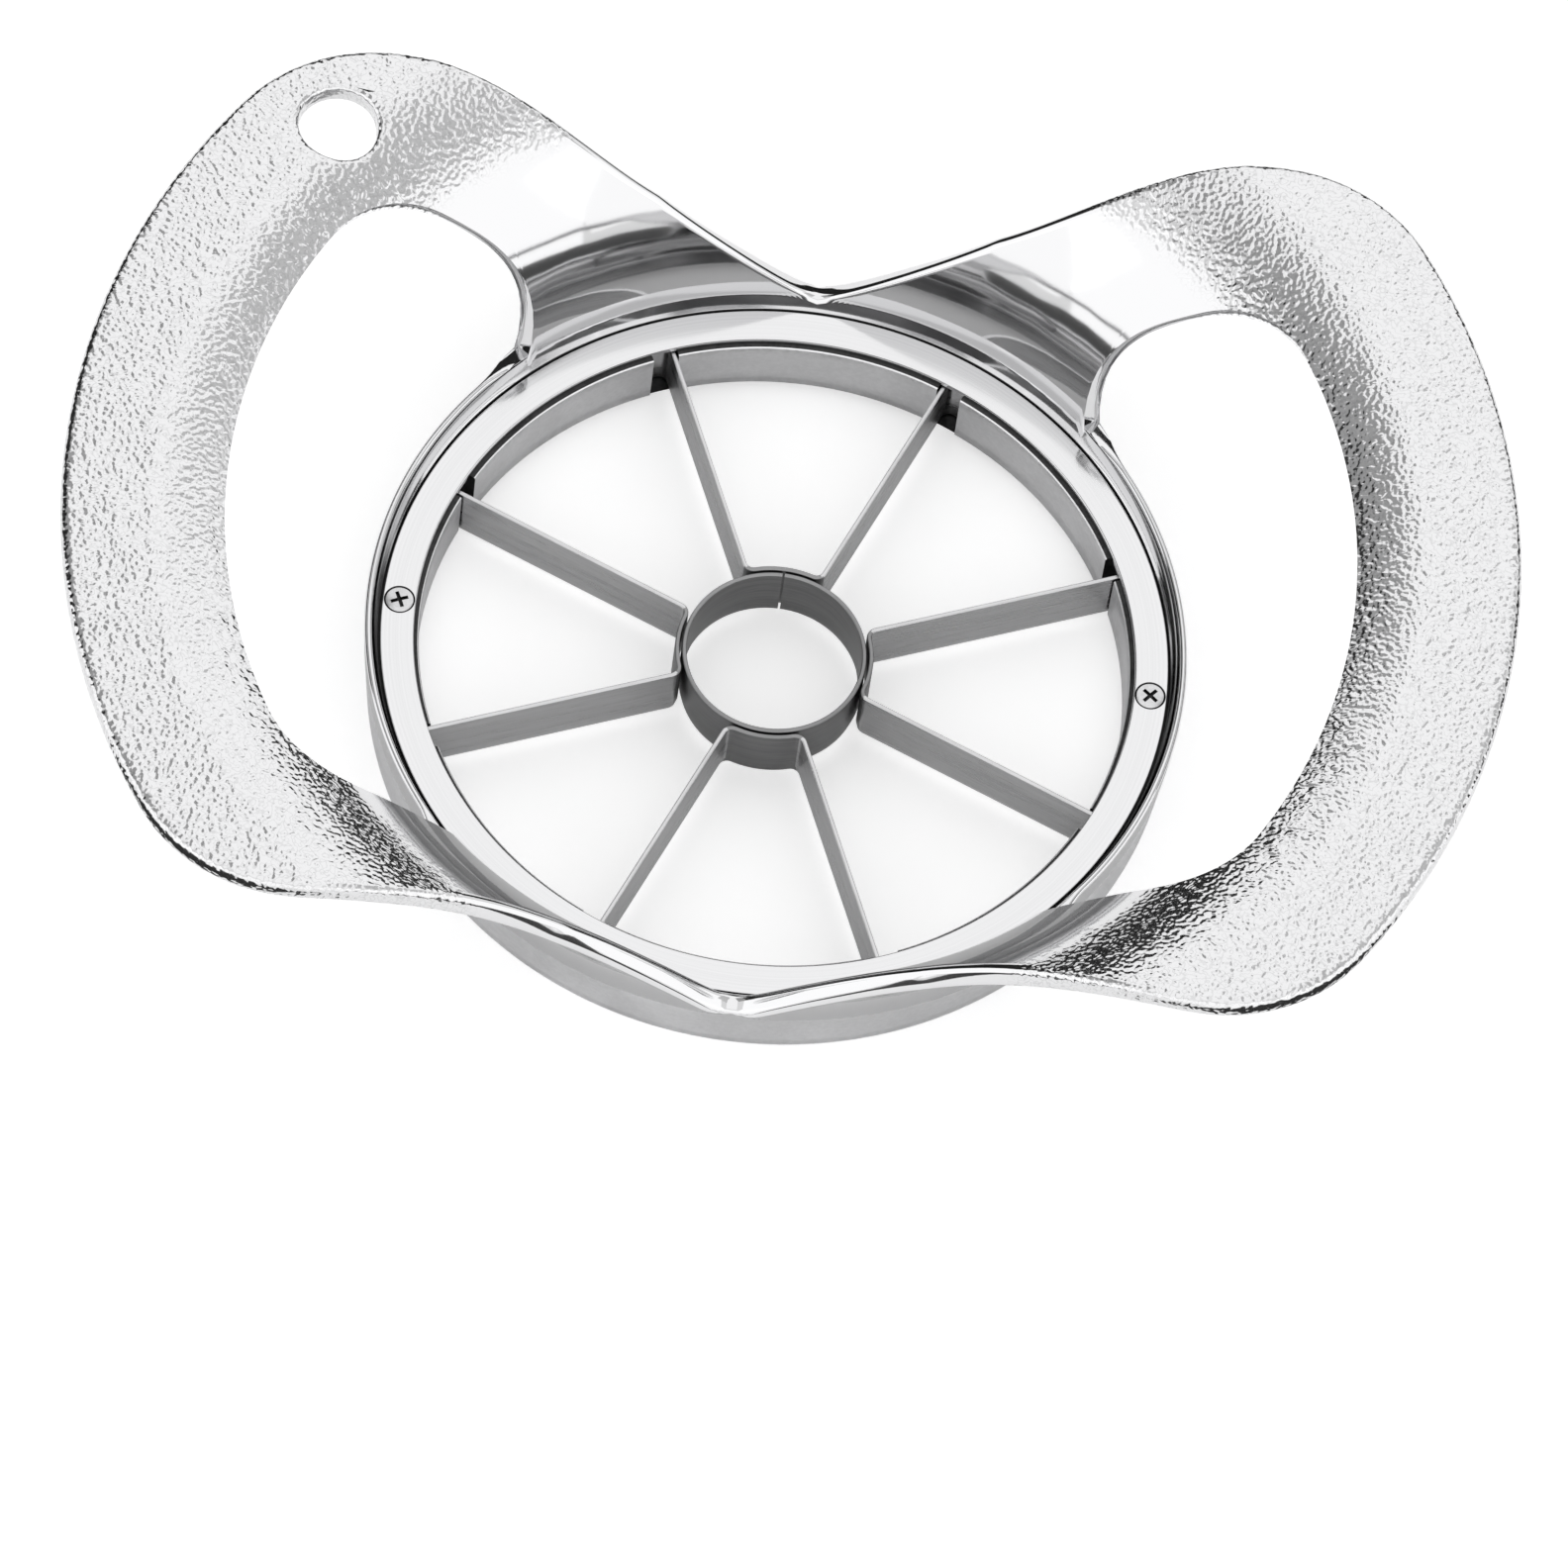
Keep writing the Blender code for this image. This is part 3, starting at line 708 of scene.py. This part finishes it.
steelLooks = {
    "satinCast": {"tones": (0.70, 0.80), "rough": (0.34, 0.46), "scale": 1500, "depth": 0.00003},
    "polishedCover": {
        "tones": (0.62, 0.68),
        "rough": (0.07, 0.14),
        "scale": 1,
        "stretch": (4000, 1, 1),
        "depth": 0.0000015,
        "circular": True,
    },
    "bladeSteel": {
        "tones": (0.50, 0.62),
        "rough": (0.24, 0.36),
        "scale": 1,
        "stretch": (200, 200, 6000),
        "depth": 0.000005,
    },
    # a darker copy of the blade steel: painted shade on the core and on the strips' arcs that hug
    # it
    "shadedCoreSteel": {
        "tones": (0.21, 0.30),
        "rough": (0.28, 0.40),
        "scale": 1,
        "stretch": (200, 200, 6000),
        "depth": 0.000005,
    },
    "screwSteel": {"tones": (0.50, 0.62), "rough": (0.16, 0.26), "scale": 2500, "depth": 0.000006},
    # painted shade for recesses: the cover's seat, blade pockets, screw bores, countersinks and
    # screw slots
    "paintedRecessShade": {"tones": (0.03, 0.07), "rough": (0.45, 0.65), "scale": 1800, "depth": 0.00002},
}
steelGrain = {"details": (4, 2), "broader": 9, "share": 0.5, "range": (0.3, 0.7)}


def steelFinish(name):
    look = steelLooks[name]
    material, tree, shader = newMaterial(name)
    shader.inputs["Metallic"].default_value = 1
    place = objectPlace(tree)
    if look.get("circular"):
        radius = roundPlace(tree, place)[0]
        ring = addNode(tree, "ShaderNodeCombineXYZ")
        tree.links.new(radius, ring.inputs["X"])
        place = ring.outputs[0]
    stretch = look.get("stretch", (1, 1, 1))
    fineDetail, broadDetail = steelGrain["details"]
    fine = grain(tree, place, look["scale"], fineDetail, stretch)
    broad = grain(tree, place, look["scale"] / steelGrain["broader"], broadDetail, stretch)
    halves = [combine(tree, "MULTIPLY", noise, steelGrain["share"]) for noise in (fine, broad)]
    both = combine(tree, "ADD", *halves)
    low, high = steelGrain["range"]
    tint(tree, spread(tree, both, 0, 1, low, high), *look["tones"], shader.inputs["Base Color"])
    tree.links.new(spread(tree, both, *look["rough"], low, high), shader.inputs["Roughness"])
    tree.links.new(relief(tree, fine, look["depth"]), shader.inputs["Normal"])
    return material


chrome = castChrome()
satin = steelFinish("satinCast")
polished = steelFinish("polishedCover")
bladeSteel = steelFinish("bladeSteel")
shadedCoreSteel = steelFinish("shadedCoreSteel")
screwSteel = steelFinish("screwSteel")
recessShade = steelFinish("paintedRecessShade")
print("finishes made")


# Pieces
pocket = {
    "width": 0.0034,
    "depth": 0.0032,
    "low": 0.0011,
    "near": 0.0006,  # how far its near side lies past the blade's middle
    "arm": math.radians(22.5),  # turn of a blade from the middle of its strip
}
screwBore = {"radius": 0.0013, "low": 0.0037, "sides": 32}


def cutFrame(obj):
    shape = bmesh.new()
    size = Vector((cast["bore"], pocket["width"], ringTop))
    for i in range(4):
        for side in (1, -1):
            turn = Matrix.Rotation(math.pi / 2 * i + pocket["arm"] * side, 4, "Z")
            middle = Vector((cast["bore"] + pocket["depth"], -pocket["near"], pocket["low"]))
            middle += Vector((-size.x, size.y, size.z)) / 2
            middle.y *= side
            boxCutter(shape, turn @ Matrix.Translation(middle), size)
    wide = screwBore["radius"]
    for x in (-screwX, screwX):
        roundCutter(shape, (x, 0), (wide, wide), screwBore["low"], ringTop, screwBore["sides"])
    # the pockets and screw bores take the painted recess shade (2)
    carve(obj, shape, 2)


def frameFinish(center):
    # chrome (0) all over, satin (1) on the wall, painted shade (2) in the seat of the cover
    radius = center.xy.length
    small = cast["smallRound"]
    inSeat = ringTop - cast["seatDepth"] < center.z < ringTop + cast["lip"][1]
    if inSeat and cast["bore"] + small < radius < cast["lip"][0]:
        return 2
    if radius < cast["bore"] + cast["boreChamfer"] and center.z < ringTop:
        return 1
    if center.z < ringTop + cast["wallTop"][1] and radius < cast["wallTop"][0] + small:
        return 1
    return 0


def makeFrame():
    shape = buildFrameMesh()
    for face in shape.faces:
        face.material_index = frameFinish(face.calc_center_median())
    obj = newObject("castFrame", shape, (chrome, satin, recessShade))
    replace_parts(obj, "frame")
    cutFrame(obj)
    obj.data.set_sharp_from_angle(angle=cast["sharp"])


cover = {
    "inner": 0.0460,
    "outer": 0.0503,
    "thick": 0.0008,
    "innerRound": 0.00025,
    "outerRound": 0.00014,
    "roundSteps": 4,
    "flatFrom": 0.0001,  # from a round to a loop that keeps the face's shading flat
    "steps": 240,
    "sinkRadii": (0.0012, 0.0028),  # of the countersink, below and above
    "sinkHalf": 0.0009,  # half its height
    "sinkSides": 48,
    "sharp": math.radians(40),
}


def makeCover():
    low = ringTop - cover["thick"]
    inner, outer = cover["inner"], cover["outer"]
    inRound, outRound = cover["innerRound"], cover["outerRound"]
    steps = cover["roundSteps"]
    profile = [(inner, low)]
    profile += around((inner + inRound, ringTop - inRound), inRound, math.pi, math.pi / 2, steps)
    profile.append((inner + inRound + cover["flatFrom"], ringTop))
    profile.append((outer - outRound - cover["flatFrom"], ringTop))
    profile += around((outer - outRound, ringTop - outRound), outRound, math.pi / 2, 0, steps)
    profile.append((outer, low))
    shape = turnAround(profile, cover["steps"], True)
    obj = newObject("coverRing", shape, (polished, recessShade))
    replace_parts(obj, "retaining_ring")
    shape = bmesh.new()
    low, high = ringTop - cover["sinkHalf"], ringTop + cover["sinkHalf"]
    for x in (-screwX, screwX):
        roundCutter(shape, (x, 0), cover["sinkRadii"], low, high, cover["sinkSides"])
    # the countersinks take the painted recess shade (1)
    carve(obj, shape, 1)
    obj.data.set_sharp_from_angle(angle=cover["sharp"])


strip = {
    "thick": 0.0006,
    "edgeHeight": 0.0012,
    "edgeShare": 0.2,
    "topRound": 0.00015,
    "bend": 0.0009,
    "hug": 0.0124,
    "tabRadius": 0.0479,
    "tabLength": 0.0022,
    "roundSteps": 3,
    "bendSteps": 8,
    "armSteps": 12,
    "hugSteps": 20,
    "sharp": math.radians(40),
}
core = {"radius": 0.0115, "seam": 0.0003, "steps": 128}


def stripSection():
    # across and up, from the cutting edge round over the top
    half = strip["thick"] / 2
    size = strip["topRound"]
    low, high = stripLow.z, stripHigh.z
    left = [(-half * strip["edgeShare"], low), (-half, low + strip["edgeHeight"])]
    left += around((size - half, high - size), size, math.pi, math.pi / 2, strip["roundSteps"])
    return left + [(-across, height) for across, height in left[::-1]]


def sweptStrip(name, line, materials):
    # the strip's section carried along a line in plan and closed at both ends
    section = stripSection()
    section.append(section[0])
    rows = []
    for i, point in enumerate(line):
        before, after = line[max(i - 1, 0)], line[min(i + 1, len(line) - 1)]
        way = Vector((after[0] - before[0], after[1] - before[1])).normalized()
        rows.append([Vector((point[0] - way.y * u, point[1] + way.x * u, v)) for u, v in section])
    shape = bmesh.new()
    gridOf(shape, rows)
    bmesh.ops.remove_doubles(shape, verts=shape.verts, dist=mergeGap)
    bmesh.ops.holes_fill(shape, edges=[e for e in shape.edges if e.is_boundary], sides=0)
    bmesh.ops.recalc_face_normals(shape, faces=shape.faces)
    for face in shape.faces:
        if face.calc_center_median().xy.length < strip["hug"] + strip["thick"]:
            face.material_index = len(materials) - 1  # what hugs the core has the last finish, the shaded core steel with painted shade
    obj = newObject(name, shape, materials)
    obj.data.set_sharp_from_angle(angle=strip["sharp"])
    return obj


def bladeLine(turn):
    # tab, arm, arc on the core, arm and tab of the strip that opens this way
    bend = strip["bend"] + strip["thick"] / 2
    reach = strip["hug"] + bend
    footAngle = math.asin(bend / reach)
    foot = reach * math.cos(footAngle)
    end = strip["tabRadius"] - bend
    steps = strip["armSteps"]
    arm = around((foot, -bend), bend, math.pi - footAngle, math.pi / 2, strip["bendSteps"])
    arm += [(foot + (end - foot) * i / steps, 0) for i in range(1, steps)]
    arm += around((end, bend), bend, -math.pi / 2, 0, strip["bendSteps"])
    arm.append((strip["tabRadius"], strip["tabLength"]))
    upper = turned(arm, pocket["arm"])
    lower = [(x, -y) for x, y in upper[::-1]]
    start = math.atan2(upper[0][1], upper[0][0])
    hug = around((0, 0), strip["hug"], -start, start, strip["hugSteps"])[1:-1]
    return turned(lower + hug + upper, turn)


def turned(points, angle):
    c, s = math.cos(angle), math.sin(angle)
    return [(x * c - y * s, x * s + y * c) for x, y in points]


def makeBlades():
    for i, side in enumerate(("right", "far", "left", "near")):
        obj = sweptStrip("bladeStrip_" + side, bladeLine(math.pi / 2 * i), (bladeSteel, shadedCoreSteel))
        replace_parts(obj, "blade_strip_" + side)
    gap = core["seam"] / 2 / core["radius"]
    line = around((0, 0), core["radius"], math.pi / 2 + gap, math.pi * 5 / 2 - gap, core["steps"])
    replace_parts(sweptStrip("coreBand", line, (shadedCoreSteel,)), "core_ring")


screw = {
    "head": 0.0018,
    "dome": 0.00010,
    "rim": 0.00008,
    "neck": 0.0009,
    "shank": 0.0010,
    "length": 0.0062,
    "cross": (0.0023, 0.00048, 0.0010),
    "turns": {"left": math.radians(24), "right": math.radians(50)},
    "domeSteps": 6,
    "rimSteps": 3,
    "steps": 48,
    "sharp": math.radians(35),
}


def makeScrew(side, x):
    head, rim = screw["head"], screw["rim"]
    profile = []
    for i in range(1, screw["domeSteps"] + 1):
        share = i / screw["domeSteps"]
        profile.append(((head - rim) * share, ringTop + screw["dome"] * (1 - share * share)))
    profile += around((head - rim, ringTop - rim), rim, math.pi / 2, 0, screw["rimSteps"])[1:]
    low = ringTop - screw["length"]
    shank = screw["shank"]
    profile += [(shank, ringTop - screw["neck"]), (shank, low + shank / 2), (shank / 2, low)]
    shape = turnAround(profile, screw["steps"], False)
    bmesh.ops.translate(shape, verts=shape.verts, vec=(x, 0, 0))
    obj = newObject("screwHead_" + side, shape, (screwSteel, recessShade))
    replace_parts(obj, "screw_" + side)
    for i in range(2):
        shape = bmesh.new()
        turn = Matrix.Rotation(screw["turns"][side] + math.pi / 2 * i, 4, "Z")
        boxCutter(shape, Matrix.Translation((x, 0, ringTop)) @ turn, screw["cross"])
        # the slots take the painted recess shade (1)
        carve(obj, shape, 1)
    obj.data.set_sharp_from_angle(angle=screw["sharp"])


makeFrame()
print("frame made")
makeCover()
makeBlades()
makeScrew("left", -screwX)
makeScrew("right", screwX)
print("pieces made")

# Studio
camera = {
    "elevation": 60.27,
    "azimuth": -1.72,
    "roll": 8.81,
    "place": (-0.019095, -0.757672, 1.305545),
    "lens": 270.7,
    "sensor": 36,
    "far": 20,
}
lights = {
    "white": 1.0,  # strength of the background that camera and mirror rays see
    "sky": 0.65,  # strength of the world as a light
    "top": {"place": (0.0, -0.15, 1.9), "size": (1.7, 1.6), "glow": 0.30},
    "front": {"place": (0.0, -1.9, 1.05), "size": (5.2, 1.9), "glow": 0.42},
    "left": {"place": (-2.0, -0.5, 0.85), "size": (2.2, 2.0), "glow": 0.45},
    "right": {"place": (2.0, -0.5, 0.85), "size": (2.2, 2.0), "glow": 0.45},
    "back": {"place": (0.0, 1.7, 1.75), "size": (4.0, 2.3), "glow": 0.32},
}
floor = {"reach": 4, "tone": 0.85, "glow": 0.40}
paintLook = {"roughness": 0.9, "shine": 0.1}
boardCut = {"rise": 0.0004, "steps": 96}
# Plain cards round the object that only its mirror rays see
cards = {
    "boardLeft": {"radii": (0.105, 3.0), "turns": (198, 248), "tone": 0.04},
    "boardRight": {"radii": (0.105, 3.0), "turns": (292, 342), "tone": 0.04},
    # the seat is a grey disc under the ring: painted shade of the floor there, as the metal
    # mirrors it
    "seat": {"radii": (0.0001, 0.064), "turns": (0, 360), "tone": 0.75},
    "shadeLeft": {"turn": 150, "lift": 50, "reach": 1.0, "size": (0.68, 0.66), "tone": 0.52},
    "shadeRight": {"turn": 20, "lift": 56, "reach": 1.0, "size": (0.70, 0.50), "tone": 0.86},
    "shadeSteep": {"turn": 152, "lift": 34, "reach": 0.9, "size": (0.42, 0.30), "tone": 0.03},
    "screen": {
        "radius": 0.60,
        "high": (0.20, 0.31),  # its top rises between the two turns of "rise"
        "rise": (60, 105),
        "turns": (10, 170),
        "steps": 48,
        "tone": 0.02,
    },
}


def makeCamera():
    up = math.radians(camera["elevation"])
    side = math.radians(camera["azimuth"])
    roll = math.radians(camera["roll"])
    back = Vector((math.sin(side) * math.cos(up), -math.cos(side) * math.cos(up), math.sin(up)))
    right = Vector((math.cos(side), math.sin(side), 0))
    top = back.cross(right)
    axisX = right * math.cos(roll) + top * math.sin(roll)
    axisY = -right * math.sin(roll) + top * math.cos(roll)
    data = bpy.data.cameras.new("camera")
    data.lens = camera["lens"]
    data.sensor_width = camera["sensor"]
    data.clip_end = camera["far"]
    obj = bpy.data.objects.new("camera", data)
    turn = Matrix((axisX, axisY, back)).transposed().to_4x4()
    obj.matrix_world = Matrix.Translation(camera["place"]) @ turn
    scene.collection.objects.link(obj)
    scene.camera = obj


def backgroundShare(tree):
    # 1 for rays that see the background straight, in a mirror or through glass
    path = addNode(tree, "ShaderNodeLightPath")
    most = path.outputs["Is Camera Ray"]
    for name in ("Is Glossy Ray", "Is Transmission Ray"):
        most = combine(tree, "MAXIMUM", most, path.outputs[name])
    return most


def makeWorld():
    world = bpy.data.worlds.new("studio")
    world.use_nodes = True
    tree = world.node_tree
    background = tree.nodes["Background"]
    strength = spread(tree, backgroundShare(tree), lights["sky"], lights["white"])
    tree.links.new(strength, background.inputs["Strength"])
    background.inputs["Color"].default_value = (1, 1, 1, 1)
    scene.world = world


def stageObject(name, shape, material):
    mesh = bpy.data.meshes.new(name)
    shape.to_mesh(mesh)
    shape.free()
    mesh.materials.append(material)
    obj = bpy.data.objects.new(name, mesh)
    scene.collection.objects.link(obj)
    return obj


def paint(name, tone):
    material, tree, shader = newMaterial(name)
    shader.inputs["Base Color"].default_value = (tone, tone, tone, 1)
    shader.inputs["Roughness"].default_value = paintLook["roughness"]
    shader.inputs["Specular IOR Level"].default_value = paintLook["shine"]
    return material, tree, shader


def makeFloor():
    shape = bmesh.new()
    bmesh.ops.create_grid(shape, x_segments=1, y_segments=1, size=floor["reach"])
    material, tree, shader = paint("floorWhite", floor["tone"])
    glow = addNode(tree, "ShaderNodeEmission")
    share = combine(tree, "MULTIPLY", backgroundShare(tree), floor["glow"])
    tree.links.new(share, glow.inputs["Strength"])
    both = addNode(tree, "ShaderNodeAddShader")
    tree.links.new(shader.outputs[0], both.inputs[0])
    tree.links.new(glow.outputs[0], both.inputs[1])
    tree.links.new(both.outputs[0], tree.nodes["Material Output"].inputs["Surface"])
    stageObject("floor", shape, material)


def inMirrorsOnly(obj):
    obj.visible_camera = False
    obj.visible_diffuse = False
    obj.visible_shadow = False


def facingCenter(place):
    # placement with its back, and so a lamp's light, towards the object
    return Matrix.Translation(place) @ place.to_track_quat("Z", "Y").to_matrix().to_4x4()


def makeCard(name, shape):
    inMirrorsOnly(stageObject(name, shape, paint(name + "Grey", cards[name]["tone"])[0]))


def makeCards():
    for name in ("boardLeft", "boardRight", "seat"):
        card = cards[name]
        shape = bmesh.new()
        start, end = (math.radians(turn) for turn in card["turns"])
        rings = [around((0, 0), radius, start, end, boardCut["steps"]) for radius in card["radii"]]
        gridOf(shape, [[Vector((x, y, boardCut["rise"])) for x, y in ring] for ring in rings])
        makeCard(name, shape)
    for name in ("shadeLeft", "shadeRight", "shadeSteep"):
        card = cards[name]
        turn, lift = math.radians(card["turn"]), math.radians(card["lift"])
        flat = Vector((math.cos(turn), math.sin(turn), 0)) * math.cos(lift)
        place = facingCenter((flat + Vector((0, 0, math.sin(lift)))) * card["reach"])
        scale = Matrix.Diagonal((*card["size"], 1, 1))
        shape = bmesh.new()
        bmesh.ops.create_grid(shape, x_segments=1, y_segments=1, size=0.5, matrix=place @ scale)
        makeCard(name, shape)
    screen = cards["screen"]
    start, end = (math.radians(turn) for turn in screen["turns"])
    foot = around((0, 0), screen["radius"], start, end, screen["steps"])
    low, high = screen["high"]
    top = []
    for x, y in foot:
        share = smoothStep(*screen["rise"], math.degrees(math.atan2(y, x)))
        top.append(Vector((x, y, low + (high - low) * share)))
    shape = bmesh.new()
    gridOf(shape, [[Vector((x, y, 0)) for x, y in foot], top])
    makeCard("screen", shape)


def makeLight(name):
    panel = lights[name]
    data = bpy.data.lights.new(name, "AREA")
    data.shape = "RECTANGLE"
    data.size, data.size_y = panel["size"]
    data.energy = panel["glow"] * math.pi * data.size * data.size_y
    obj = bpy.data.objects.new(name, data)
    obj.matrix_world = facingCenter(Vector(panel["place"]))
    scene.collection.objects.link(obj)


makeCamera()
makeWorld()
makeFloor()
makeCards()
for name in ("top", "front", "left", "right", "back"):
    makeLight(name)
scene.view_settings.view_transform = "Standard"
print("studio made")
